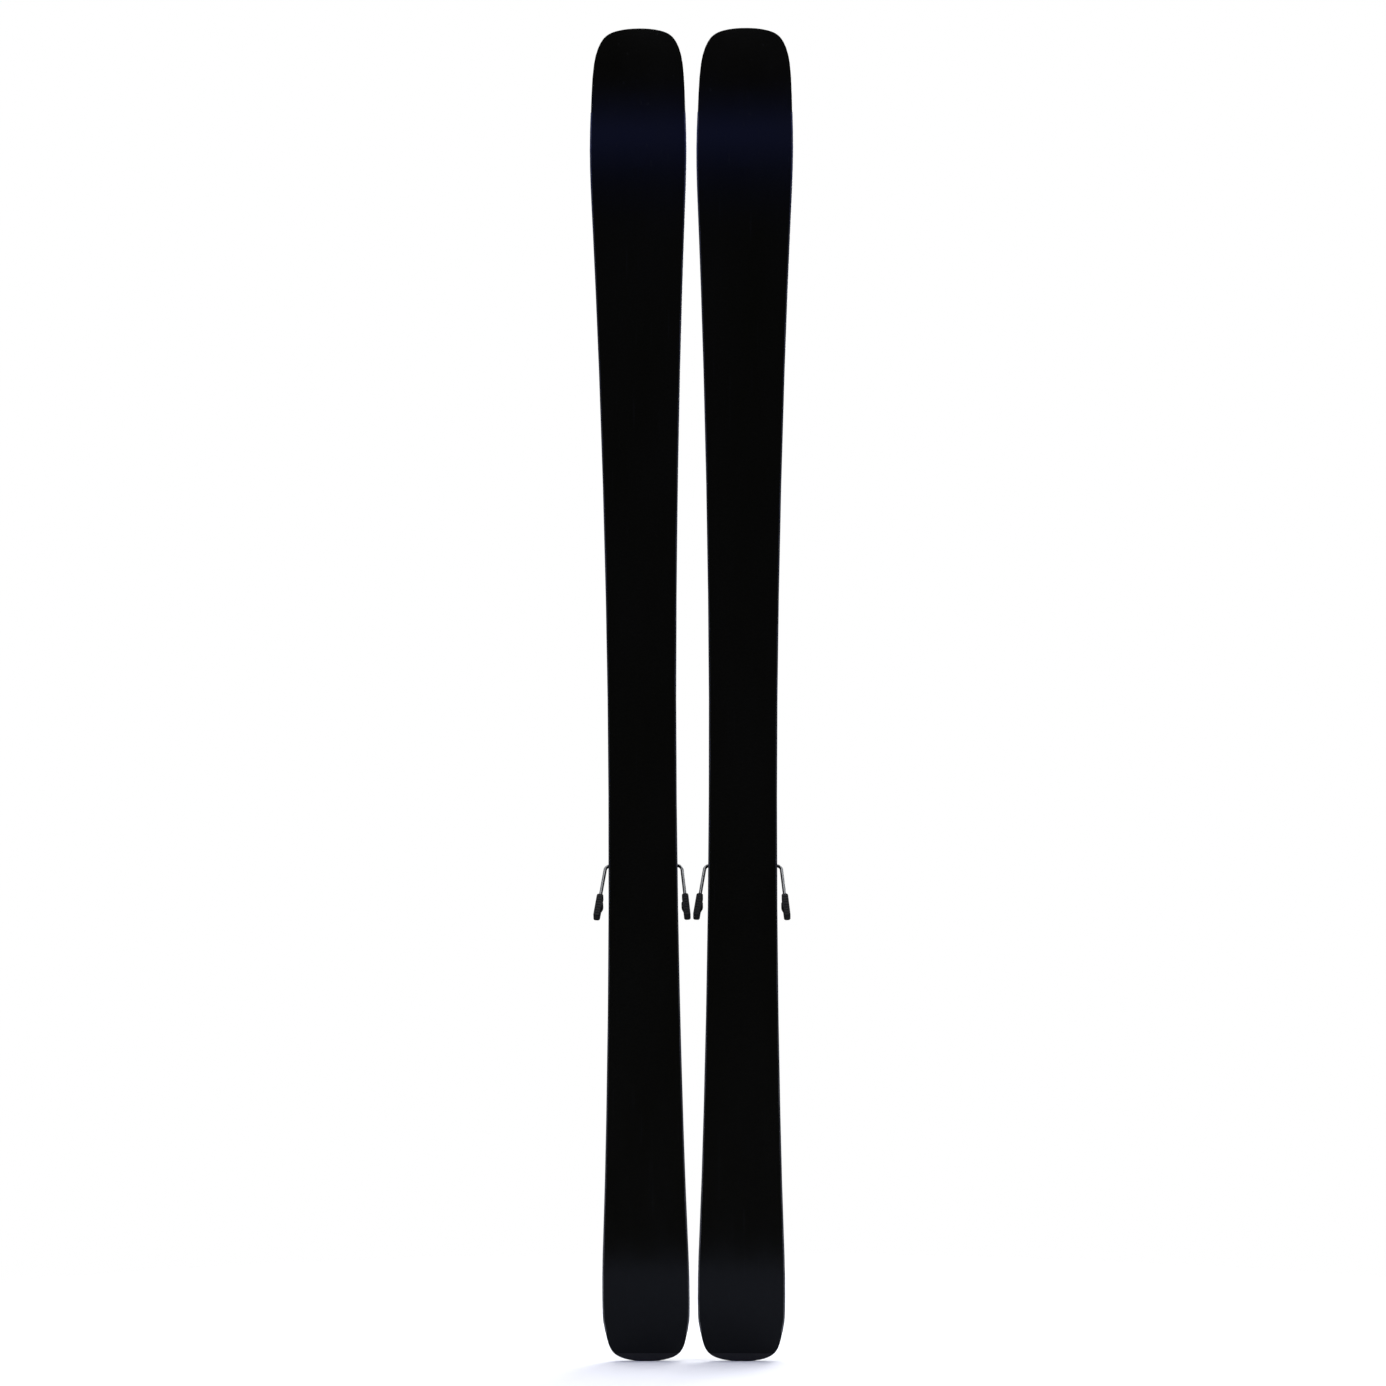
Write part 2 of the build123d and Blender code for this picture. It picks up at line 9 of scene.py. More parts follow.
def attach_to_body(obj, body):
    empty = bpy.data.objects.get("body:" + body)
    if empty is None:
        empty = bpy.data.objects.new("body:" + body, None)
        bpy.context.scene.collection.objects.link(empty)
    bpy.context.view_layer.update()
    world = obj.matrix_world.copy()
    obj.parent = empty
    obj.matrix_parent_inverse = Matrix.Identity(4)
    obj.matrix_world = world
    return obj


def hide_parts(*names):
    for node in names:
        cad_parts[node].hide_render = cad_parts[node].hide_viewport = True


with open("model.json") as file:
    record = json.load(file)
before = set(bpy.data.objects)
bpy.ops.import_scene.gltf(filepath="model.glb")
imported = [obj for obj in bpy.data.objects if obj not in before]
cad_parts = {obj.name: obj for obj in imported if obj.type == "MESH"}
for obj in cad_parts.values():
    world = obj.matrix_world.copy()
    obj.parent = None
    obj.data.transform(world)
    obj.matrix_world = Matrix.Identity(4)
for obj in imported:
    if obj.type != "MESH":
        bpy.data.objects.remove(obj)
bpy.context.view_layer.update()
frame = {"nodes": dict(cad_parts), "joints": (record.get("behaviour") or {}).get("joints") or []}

# Pieces of one ski are made in that ski's own frame, in millimetres: X across the ski,
# Y off the ski (0 is the running surface below the boot), Z from the tail to the tip.
MM = 0.001
SIDES = {"left": -1, "right": 1}
AXLE_Y, AXLE_Z = 28.0, 661.5       # the brake's axle in a ski's frame; its joint gives the place
JOINTS = {joint["name"]: joint for joint in frame["joints"]}
NODES = frame["nodes"]


def ski_matrix(name):
    """The ski's own frame in the pair's frame, from the slide and the brake's axle."""
    along = Vector(JOINTS[f"{name}_heel_slide"]["axis"]).normalized()
    off = Vector((0, 1, 0))
    across = off.cross(along)
    axle = Vector(JOINTS[f"{name}_brake_swing"]["pos_m"])
    origin = axle - off * AXLE_Y * MM - along * AXLE_Z * MM
    turn = Matrix((across, off, along)).transposed().to_4x4()
    return Matrix.Translation(origin) @ turn @ Matrix.Scale(MM, 4)


SKI = {name: ski_matrix(name) for name in SIDES}


# ---------------------------------------------------------------- making meshes
SHARP = 35                 # degrees between faces above which an edge is a real edge
SMOOTH_SKIN = 50           # the same for the skins made from rings
SHELL_SEGMENTS = 3         # steps across a rounded edge of a shell, and of a small part
SMALL_SEGMENTS = 2
FLAT_WEIGHT = 80           # how far large flats win over their rounded edges in shading
SAME_POINT = 2e-6          # metres
SAME_PLANE = math.radians(0.6)


def object_from(bm, name, place=None):
    """A new object from a bmesh, moved into the pair's frame by place."""
    if place is not None:
        bmesh.ops.transform(bm, matrix=place, verts=bm.verts)
    bmesh.ops.recalc_face_normals(bm, faces=bm.faces)
    mesh = bpy.data.meshes.new(name)
    bm.to_mesh(mesh)
    bm.free()
    piece = bpy.data.objects.new(name, mesh)
    bpy.context.collection.objects.link(piece)
    return piece


def finish_piece(piece, body, material, nodes=(), bevel=0.0, segments=SHELL_SEGMENTS, angle=SHARP,
                 weighted=False, clamped=True):
    """Bevel, smooth, dress and attach a piece; nodes are the CAD nodes it stands for.

    A weighted bevel follows the edges' own weights; a clamped one stops where two would meet.
    """
    mesh = piece.data
    mesh.materials.clear()
    mesh.materials.append(material)
    for face in mesh.polygons:
        face.use_smooth = True
    if bevel:
        rounding = piece.modifiers.new("rounding", "BEVEL")
        rounding.width = bevel * MM
        rounding.segments = segments
        rounding.limit_method = "WEIGHT" if weighted else "ANGLE"
        rounding.angle_limit = math.radians(angle)
        rounding.use_clamp_overlap = clamped
        even = piece.modifiers.new("even_normals", "WEIGHTED_NORMAL")
        even.keep_sharp = True
        even.weight = FLAT_WEIGHT
    else:
        mesh.set_sharp_from_angle(angle=math.radians(angle))
    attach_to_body(piece, body)
    if nodes:
        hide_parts(*nodes)


def refined(name, node, body, material, radius, outer_radius=0.0, is_outer=None):
    """The CAD node's own shape as a new mesh with flat facets joined and its edges rounded.

    Edges for which is_outer(|x|) is true, x being their middle across the ski, get the outer radius.
    """
    bm = bmesh.new()
    bm.from_mesh(NODES[f"{name}_{node}"].data)
    bmesh.ops.remove_doubles(bm, verts=bm.verts, dist=SAME_POINT)
    bmesh.ops.dissolve_limit(bm, angle_limit=SAME_PLANE, verts=bm.verts, edges=bm.edges)
    weight = bm.edges.layers.float.new("bevel_weight_edge")
    widest = max(radius, outer_radius)
    to_ski = SKI[name].inverted()
    for edge in bm.edges:
        if edge.is_manifold and edge.calc_face_angle(0) > math.radians(SHARP):
            middle = to_ski @ ((edge.verts[0].co + edge.verts[1].co) / 2)
            outer = is_outer is not None and is_outer(abs(middle.x))
            edge[weight] = (outer_radius if outer else radius) / widest
    finish_piece(object_from(bm, f"{name}_{node}_shell"), f"{name}_{body}", material, [f"{name}_{node}"],
                 widest, weighted=True, clamped=is_outer is None)


def bars(places, size, tilt=0.0):
    """Equal small blocks at places (x, y, z), leaning by tilt about X."""
    bm = bmesh.new()
    lean = Matrix.Rotation(tilt, 4, "X") @ Matrix.Diagonal((*size, 1))
    for place in places:
        bmesh.ops.create_cube(bm, size=1.0, matrix=Matrix.Translation(place) @ lean)
    return bm


DISC_SIDES = 32


def discs(places, radius, height, axis="X"):
    """Equal short cylinders at places, their axes along X or Y."""
    bm = bmesh.new()
    aim = Matrix.Rotation(math.pi / 2, 4, "Y" if axis == "X" else "X")
    for place in places:
        bmesh.ops.create_cone(bm, cap_ends=True, segments=DISC_SIDES, radius1=radius, radius2=radius,
                              depth=height, matrix=Matrix.Translation(place) @ aim)
    return bm


def inset(points, amount):
    """A closed outline of (x, z) moved inwards, each point along its own normal."""
    area = sum(x * points[i - 1][1] - z * points[i - 1][0] for i, (x, z) in enumerate(points))
    inwards = amount if area < 0 else -amount
    moved = []
    for i, (x, z) in enumerate(points):
        (x0, z0), (x1, z1) = points[i - 1], points[(i + 1) % len(points)]
        length = math.hypot(x1 - x0, z1 - z0)
        moved.append((x - inwards * (z1 - z0) / length, z + inwards * (x1 - x0) / length))
    return moved


def join_rings(bm, lower, upper):
    """A band of four-sided faces from each ring of vertices in lower to the one in upper."""
    for low, high in zip(lower, upper):
        for i in range(len(low)):
            j = (i + 1) % len(low)
            bm.faces.new((low[i], low[j], high[j], high[i]))


def skin(rings):
    """A closed skin over rings of (x, y, z) with equal counts, capped at both ends."""
    bm = bmesh.new()
    loops = [[bm.verts.new(point) for point in ring] for ring in rings]
    join_rings(bm, loops, loops[1:])
    bm.faces.new(loops[0])
    bm.faces.new(loops[-1])
    bmesh.ops.remove_doubles(bm, verts=bm.verts, dist=1e-4)
    return bm


def level(points, y):
    """An outline of (x, z) as a ring at height y."""
    return [(x, y, z) for x, z in points]


EDGE_STEPS, CORNER_STEPS, FRAME_STEPS = 5, 8, 5      # steps in a quarter of a circle


def rounded_top(points, high, edge):
    """Rings that close an outline's upper edge with a quarter round of radius edge."""
    turns = [math.pi / 2 * k / EDGE_STEPS for k in range(EDGE_STEPS + 1)]
    return [level(inset(points, edge * (1 - math.cos(a))), high - edge * (1 - math.sin(a))) for a in turns]


def corner_arc(x, z, radius, start, steps=CORNER_STEPS):
    """A quarter of a circle about (x, z), starting at an angle in degrees."""
    turns = [math.radians(start + 90 * k / steps) for k in range(steps + 1)]
    return [(x + radius * math.cos(a), z + radius * math.sin(a)) for a in turns]


FRAME_CORNER, FRAME_INNER_CORNER = 2.4, 1.2


def frame_ring(width, length, border, height):
    """A flat rectangular frame with rounded corners lying in the XZ plane, its top at Y = 0."""
    bm = bmesh.new()

    def outline(half_x, half_z, corner, y):
        points = []
        for sx, sz, start in ((1, 1, 0), (-1, 1, 90), (-1, -1, 180), (1, -1, 270)):
            centre = sx * (half_x - corner), sz * (half_z - corner)
            points += corner_arc(*centre, corner, start, FRAME_STEPS)
        return [bm.verts.new(point) for point in level(points, y)]

    outer = width / 2, length / 2, FRAME_CORNER
    inner = width / 2 - border, length / 2 - border, FRAME_INNER_CORNER
    rings = [outline(*outer, -height), outline(*outer, 0), outline(*inner, 0), outline(*inner, -height)]
    join_rings(bm, rings, rings[1:] + rings[:1])
    return bm


def attach(name, label, bm, body, look, bevel=0.0, at=None):
    """Add a small piece made in the ski's frame, or in the frame at within it."""
    place = SKI[name] @ at if at is not None else SKI[name]
    piece = object_from(bm, f"{name}_{label}", place)
    finish_piece(piece, f"{name}_{body}", MATERIALS[look], (), bevel, SMALL_SEGMENTS)


# ---------------------------------------------------------------- materials
class Nodes:
    """A material's node tree with short calls for the nodes used here."""

    def __init__(self, name):
        self.material = bpy.data.materials.new(name)
        self.material.use_nodes = True
        self.tree = self.material.node_tree
        self.shader = self.tree.nodes["Principled BSDF"]
        self.coords = self.add("ShaderNodeTexCoord").outputs["Object"]

    def add(self, kind, **values):
        node = self.tree.nodes.new(kind)
        for key, value in values.items():
            setattr(node, key, value)
        return node

    def link(self, source, target):
        self.tree.links.new(source, target)

    def mapped(self, scale):
        mapping = self.add("ShaderNodeMapping")
        mapping.inputs["Scale"].default_value = scale
        self.link(self.coords, mapping.inputs["Vector"])
        return mapping.outputs["Vector"]

    def noise(self, scale, detail=3.0, rough=0.55, stretch=(1, 1, 1)):
        noise = self.add("ShaderNodeTexNoise")
        noise.inputs["Scale"].default_value = scale
        noise.inputs["Detail"].default_value = detail
        noise.inputs["Roughness"].default_value = rough
        self.link(self.mapped(stretch), noise.inputs["Vector"])
        return noise.outputs["Fac"]

    def ramp(self, source, low, high, from_value=0.0, to_value=1.0):
        """Colours from low to high as the source goes between two values."""
        ramp = self.add("ShaderNodeValToRGB")
        ends = ramp.color_ramp.elements
        ends[0].position, ends[1].position = from_value, to_value
        ends[0].color, ends[1].color = (*low, 1), (*high, 1)
        self.link(source, ramp.inputs["Fac"])
        return ramp.outputs["Color"]

    def span(self, source, low, high, from_value=0.0, to_value=1.0):
        """A number from low to high as the source goes between two values."""
        span = self.add("ShaderNodeMapRange")
        span.inputs["From Min"].default_value = from_value
        span.inputs["From Max"].default_value = to_value
        span.inputs["To Min"].default_value = low
        span.inputs["To Max"].default_value = high
        self.link(source, span.inputs["Value"])
        return span.outputs["Result"]

    def mix(self, factor, first, second):
        mix = self.add("ShaderNodeMix", data_type="RGBA")
        self.link(factor, mix.inputs["Factor"])
        for source, socket in ((first, mix.inputs[6]), (second, mix.inputs[7])):
            if isinstance(source, tuple):
                socket.default_value = (*source, 1)
            else:
                self.link(source, socket)
        return mix.outputs[2]

    def maths(self, operation, *sources):
        node = self.add("ShaderNodeMath", operation=operation)
        for source, socket in zip(sources, node.inputs):
            if isinstance(source, (int, float)):
                socket.default_value = source
            else:
                self.link(source, socket)
        return node.outputs[0]

    def bump(self, height, strength, distance, after=None):
        bump = self.add("ShaderNodeBump")
        bump.inputs["Strength"].default_value = strength
        bump.inputs["Distance"].default_value = distance
        self.link(height, bump.inputs["Height"])
        if after:
            self.link(after, bump.inputs["Normal"])
        return bump.outputs["Normal"]

    def distance(self, source, value):
        """How far a source lies from a value or another source, on either side."""
        return self.maths("ABSOLUTE", self.maths("SUBTRACT", source, value))

    def edges(self, radius):
        """1 along sharp edges and 0 on flats."""
        bevel = self.add("ShaderNodeBevel", samples=6)
        bevel.inputs["Radius"].default_value = radius
        geometry = self.add("ShaderNodeNewGeometry")
        dot = self.add("ShaderNodeVectorMath", operation="DOT_PRODUCT")
        self.link(bevel.outputs["Normal"], dot.inputs[0])
        self.link(geometry.outputs["Normal"], dot.inputs[1])
        return self.span(dot.outputs["Value"], 1.0, 0.0, 0.75, 0.99)

    def set(self, **sockets):
        for key, value in sockets.items():
            socket = self.shader.inputs[key.replace("_", " ")]
            if isinstance(value, bpy.types.NodeSocket):
                self.link(value, socket)
            elif isinstance(value, tuple):
                socket.default_value = (*value, 1)
            else:
                socket.default_value = value
        return self.material


def base_material():
    """Waxed sintered base: near black, ground with fine lines along the ski, faint scratches."""
    n = Nodes("running_surface")
    cloud = n.noise(9.0, 4, 0.6, (1, 1, 0.35))
    grind = n.noise(1500.0, 2, 0.5, (1, 1, 0.006))
    scratch = n.span(n.noise(260.0, 2, 0.5, (1, 1, 0.02)), 0, 1, 0.68, 0.76)
    colour = n.ramp(cloud, (0.0023, 0.0022, 0.0016), (0.0034, 0.0033, 0.0027), 0.3, 0.7)
    colour = n.mix(n.maths("MULTIPLY", scratch, 0.35), colour, (0.010, 0.010, 0.010))
    rough = n.maths("ADD", n.span(cloud, 0.14, 0.2, 0.3, 0.7), n.maths("MULTIPLY", scratch, 0.1))
    fine = n.bump(grind, 0.12, 0.00006)
    return n.set(Base_Color=colour, Roughness=rough, Normal=n.bump(scratch, 0.1, 0.00005, fine),
                 Specular_IOR_Level=0.09, Specular_Tint=(0.72, 0.8, 1.0))


def metal(name, dark, light, rough, brush=(1, 1, 0.03), brush_scale=900.0, stains=0.25):
    """Brushed or ground metal, with stains and a fine grain that brush stretches one way."""
    n = Nodes(name)
    grain = n.noise(brush_scale, 2, 0.5, brush)
    cloud = n.noise(60.0, 5, 0.65)
    colour = n.ramp(grain, dark, light, 0.3, 0.7)
    stain = n.span(cloud, 0, stains, 0.52, 0.72)
    colour = n.mix(stain, colour, tuple(c * 0.45 for c in dark))
    roughness = n.maths("ADD", n.span(grain, *rough, 0.3, 0.7), n.maths("MULTIPLY", stain, 0.6))
    return n.set(Base_Color=colour, Metallic=1.0, Roughness=roughness, Normal=n.bump(grain, 0.15, 0.00004))


def plastic(name, colour, rough, grain, grain_scale=2600.0, wear=0.5, worn=None, coat=0.0, gloss=0.4):
    """Moulded plastic: spark-eroded grain, slight colour clouds, rubbed edges and scuffs."""
    n = Nodes(name)
    cloud = n.noise(35.0, 4, 0.6)
    fine = n.noise(grain_scale, 2, 0.6)
    light = tuple(min(1.0, c * 1.25 + 0.001) for c in colour)
    base = n.ramp(cloud, colour, light, 0.35, 0.7)
    worn = worn or tuple(min(1.0, c * 2.2 + 0.02) for c in colour)
    rub = n.maths("MULTIPLY", n.edges(0.0006), n.span(n.noise(220.0, 4, 0.7), 0, wear, 0.42, 0.62))
    base = n.mix(rub, base, worn)
    scuff = n.span(n.noise(120.0, 2, 0.5, (1, 1, 0.08)), 0, 0.12, 0.62, 0.7)
    roughness = n.maths("ADD", n.span(cloud, *rough, 0.3, 0.7),
                        n.maths("ADD", n.maths("MULTIPLY", rub, 0.15), scuff))
    return n.set(Base_Color=base, Roughness=roughness, Normal=n.bump(fine, grain, 0.00008),
                 Coat_Weight=coat, Coat_Roughness=0.2, Specular_IOR_Level=gloss)


# The topsheet's print: heights and distances in metres, parts of a chevron's step as fractions
PRINT_MIDDLE = 0.80        # height about which the print of tip and tail is mirrored
PRINT_START = 0.34         # the chevrons begin this far from there
PRINT_FADE = 0.005         # and are full this much further on
CHEVRON_STEP = 0.148       # from one chevron to the next along the ski
CHEVRON_SLOPE = 1.5        # along the ski for each metre across it
CHEVRON_PART = 0.46        # the wide chevron's part of a step
LINE_PLACE, LINE_HALF_PART = 0.56, 0.018       # the thin line behind it, in the same step
RAIL_PLACE, RAIL_HALF_WIDTH = 0.030, 0.0009    # the thin lines beside the binding, from the centre line
RAIL_END = 0.33            # they stop this far from the print's middle


def topsheet_material():
    """Satin film over a tonal print: chevrons towards tip and tail, plain below the binding."""
    n = Nodes("topsheet_film")
    axes = n.add("ShaderNodeSeparateXYZ")
    n.link(n.coords, axes.inputs[0])
    along = axes.outputs["Z"]
    foot, splay = SKI["right"].translation.x, math.tan(SKI["right"].to_euler().y)
    centre_line = n.maths("MULTIPLY_ADD", along, splay, foot)
    across = n.distance(n.maths("ABSOLUTE", axes.outputs["X"]), centre_line)
    end = n.distance(along, PRINT_MIDDLE)
    lean = n.maths("SUBTRACT", end, n.maths("MULTIPLY", across, CHEVRON_SLOPE))
    wave = n.maths("FRACT", n.maths("DIVIDE", lean, CHEVRON_STEP))
    shown = n.span(lean, 0, 1, PRINT_START, PRINT_START + PRINT_FADE)
    wide = n.maths("MULTIPLY", n.maths("LESS_THAN", wave, CHEVRON_PART), shown)
    on_line = n.maths("LESS_THAN", n.distance(wave, LINE_PLACE), LINE_HALF_PART)
    thin = n.maths("MULTIPLY", on_line, shown)
    on_rail = n.maths("LESS_THAN", n.distance(across, RAIL_PLACE), RAIL_HALF_WIDTH)
    rail = n.maths("MULTIPLY", on_rail, n.span(end, 1, 0, RAIL_END, RAIL_END + PRINT_FADE))
    cloud = n.noise(18.0, 4, 0.6, (1, 1, 0.3))
    colour = n.ramp(cloud, (0.0115, 0.012, 0.0135), (0.0135, 0.014, 0.0155), 0.35, 0.7)
    colour = n.mix(wide, colour, (0.034, 0.037, 0.043))
    colour = n.mix(n.maths("MAXIMUM", thin, rail), colour, (0.30, 0.31, 0.33))
    scratch = n.span(n.noise(170.0, 2, 0.5, (1, 1, 0.05)), 0, 1, 0.68, 0.74)
    rub = n.maths("MULTIPLY", n.edges(0.0008), n.span(n.noise(160.0, 4, 0.7), 0, 0.6, 0.42, 0.62))
    colour = n.mix(n.maths("ADD", rub, n.maths("MULTIPLY", scratch, 0.2)), colour, (0.09, 0.09, 0.095))
    rough = n.maths("ADD", n.span(cloud, 0.26, 0.34, 0.3, 0.7), n.maths("MULTIPLY", wide, 0.12))
    weave = n.bump(n.noise(2400.0, 2, 0.5), 0.12, 0.00005)
    return n.set(Base_Color=colour, Roughness=n.maths("ADD", rough, n.maths("MULTIPLY", scratch, 0.15)),
                 Normal=n.bump(scratch, 0.1, 0.00004, weave), Coat_Weight=0.25, Coat_Roughness=0.18)


ALL_WAYS = (1, 1, 1)       # a metal's grain that has no direction

MATERIALS = {
    # the skis
    "base": base_material(),
    "edge": metal("edge_steel", (0.05, 0.052, 0.056), (0.11, 0.112, 0.118), rough=(0.3, 0.45),
                  brush=(1, 1, 0.02)),
    "sidewall": plastic("sidewall_abs", (0.008, 0.008, 0.009), rough=(0.35, 0.5), grain=0.2,
                        grain_scale=1800.0, wear=0.6, gloss=0.2),
    "topsheet": topsheet_material(),
    "guard": plastic("tail_guard_plastic", (0.009, 0.009, 0.0095), rough=(0.45, 0.6), grain=0.4,
                     grain_scale=1500.0, gloss=0.12),
    "wood": plastic("core_wood", (0.35, 0.22, 0.12), rough=(0.5, 0.6), grain=0.3, grain_scale=900.0,
                    wear=0.2),
    # plastics of the bindings
    "nylon": plastic("nylon_black", (0.017, 0.017, 0.018), rough=(0.42, 0.6), grain=0.5,
                     grain_scale=2200.0, wear=0.55),
    "shell": plastic("shell_satin", (0.020, 0.021, 0.023), rough=(0.25, 0.36), grain=0.18,
                     grain_scale=3000.0, wear=0.6, coat=0.35),
    "grey": plastic("nylon_grey", (0.085, 0.089, 0.095), rough=(0.4, 0.52), grain=0.4,
                    grain_scale=2400.0, wear=0.6),
    "brake": plastic("brake_nylon", (0.004, 0.004, 0.0044), rough=(0.5, 0.65), grain=0.5,
                     grain_scale=1900.0, wear=0.35, gloss=0.07),
    "rubber": plastic("grip_rubber", (0.014, 0.014, 0.014), rough=(0.62, 0.75), grain=0.6,
                      grain_scale=1700.0, wear=0.3, gloss=0.25),
    "scale": plastic("scale_print", (0.62, 0.63, 0.62), rough=(0.3, 0.4), grain=0.1, wear=0.3,
                     worn=(0.4, 0.4, 0.4)),
    "marker": plastic("marker_orange", (0.62, 0.13, 0.02), rough=(0.3, 0.42), grain=0.15, wear=0.4,
                      worn=(0.7, 0.3, 0.15)),
    # metals of the bindings
    "steel": metal("zinc_steel", (0.36, 0.36, 0.37), (0.55, 0.55, 0.56), rough=(0.25, 0.4),
                   brush=ALL_WAYS, brush_scale=500.0),
    "spring": metal("spring_steel", (0.14, 0.14, 0.15), (0.24, 0.24, 0.25), rough=(0.25, 0.38),
                    brush=ALL_WAYS, brush_scale=700.0),
    "track": metal("track_steel", (0.22, 0.225, 0.23), (0.38, 0.385, 0.39), rough=(0.3, 0.45)),
    "afd": metal("stainless_sheet", (0.5, 0.51, 0.52), (0.68, 0.69, 0.7), rough=(0.16, 0.3),
                 brush=(0.03, 1, 1)),
    "wire": metal("wire_steel", (0.085, 0.086, 0.09), (0.12, 0.122, 0.127), rough=(0.26, 0.36),
                  brush=(1, 1, 0.3), brush_scale=500.0, stains=0.1),
}
NODE_LOOKS = {
    "base": "base", "steel_edges": "edge", "wood_core": "wood", "sidewalls": "sidewall",
    "topsheet": "topsheet", "tail_guard": "guard", "mounting_screws": "steel", "toe_base": "nylon",
    "toe_housing": "shell", "toe_wing_pins": "steel", "toe_piston": "grey", "toe_spring": "spring",
    "heel_track": "track", "toe_wing_inner": "grey", "toe_wing_outer": "grey", "afd_plate": "afd",
    "toe_din_screw": "steel", "heel_carriage": "nylon", "length_screw": "steel", "heel_axle": "steel",
    "brake_base": "nylon", "brake_springs": "spring", "heel_housing": "shell", "heel_cup": "grey",
    "heel_spring": "spring", "heel_din_screw": "steel", "heel_lever": "shell", "brake_wire": "wire",
    "brake_feet": "brake", "brake_pedal": "brake",
}
for name in SIDES:
    for node, look in NODE_LOOKS.items():
        for slot in NODES[f"{name}_{node}"].material_slots:
            slot.material = MATERIALS[look]

# ---------------------------------------------------------------- bindings with rounded edges
REFINED = {     # CAD node: its body, the radius of its edges in millimetres, that of its outer edges
    "toe_base": ("ski", 0.8), "heel_track": ("ski", 0.25), "tail_guard": ("ski", 0.4),
    "afd_plate": ("afd_plate", 0.5), "toe_din_screw": ("toe_din_screw", 0.2),
    "heel_carriage": ("heel_carriage", 0.8), "brake_base": ("heel_carriage", 0.6),
    "length_screw": ("length_screw", 0.2), "heel_din_screw": ("heel_din_screw", 0.2),
    "brake_feet": ("brake", 0.3), "brake_pedal": ("brake_pedal", 0.6),
    "toe_wing_inner": ("toe_wing_inner", 1.2), "toe_wing_outer": ("toe_wing_outer", 1.2),
    "heel_lever": ("heel_lever", 1.2), "toe_housing": ("ski", 1.0),
    "heel_housing": ("heel_housing", 0.4, 2.8, lambda x: 19 < x < 21),
}
for name in SIDES:
    for node, (body, *rounding) in REFINED.items():
        refined(name, node, body, MATERIALS[NODE_LOOKS[node]], *rounding)

# ---------------------------------------------------------------- heel cup and toe cover
CUP_HALF, CUP_BACK, CUP_FRONT, CUP_CORNER = 34.0, 641.0, 673.0, 9.0
CUP_LOW, CUP_LIP, CUP_TOP = 44.0, 68.5, 74.0
CUP_EDGE, CUP_TOP_EDGE = 1.5, 2.6
HEEL_CENTRE_Z = 694.5      # centre of the hollow that takes the boot's heel
HEEL_HOLLOW, LIP_HOLLOW = 31.0, 27.0       # its radius below the lip, and in the lip over the heel
HOLLOW_STEPS = 14          # on each side of the middle


def cup_outline(radius):
    """The cup from above, with a round hollow of that radius in its front."""
    reach = math.asin(math.sqrt(radius**2 - (HEEL_CENTRE_Z - CUP_FRONT) ** 2) / radius)
    side, near, far = CUP_HALF - CUP_CORNER, CUP_FRONT - CUP_CORNER, CUP_BACK + CUP_CORNER
    turns = [reach * k / HOLLOW_STEPS for k in range(HOLLOW_STEPS, -HOLLOW_STEPS - 1, -1)]
    hollow = [(radius * math.sin(a), HEEL_CENTRE_Z - radius * math.cos(a)) for a in turns]
    return (corner_arc(side, near, CUP_CORNER, 0) + hollow + corner_arc(-side, near, CUP_CORNER, 90)
            + corner_arc(-side, far, CUP_CORNER, 180) + corner_arc(side, far, CUP_CORNER, 270))


COVER_SIDE = [(26.2, 989.5), (26.2, 1000), (26.2, 1012), (26, 1020), (24, 1024), (20.6, 1030), (10, 1031)]
TOE_COVER = (COVER_SIDE + [(0, 1031.4)] + [(-x, z) for x, z in reversed(COVER_SIDE)]
             + [(-13, 989), (0, 988.8), (13, 989)])
TOE_COVER_LOW, TOE_COVER_TOP, TOE_COVER_EDGE = 68.6, 71.0, 1.4

for name in SIDES:
    lip, hollow = cup_outline(LIP_HOLLOW), cup_outline(HEEL_HOLLOW)
    cup = skin([level(inset(hollow, CUP_EDGE), CUP_LOW), level(hollow, CUP_LOW + CUP_EDGE),
                level(hollow, CUP_LIP), level(lip, CUP_LIP)] + rounded_top(lip, CUP_TOP, CUP_TOP_EDGE))
    cup = object_from(cup, f"{name}_heel_cup_shell", SKI[name])
    finish_piece(cup, f"{name}_heel_housing", MATERIALS["grey"], [f"{name}_heel_cup"], angle=SMOOTH_SKIN)
    attach(name, "heel_cup_foot", bars([(0, 39.2, 646.5)], (36, 10.4, 11)), "heel_housing", "grey", 0.8)
    attach(name, "heel_treadle", bars([(0, 35.5, 656)], (36, 3, 30)), "heel_housing", "grey", 0.8)
    cover = skin([level(TOE_COVER, TOE_COVER_LOW)] + rounded_top(TOE_COVER, TOE_COVER_TOP, TOE_COVER_EDGE))
    cover = object_from(cover, f"{name}_toe_cover", SKI[name])
    finish_piece(cover, f"{name}_ski", MATERIALS["shell"], angle=SMOOTH_SKIN)

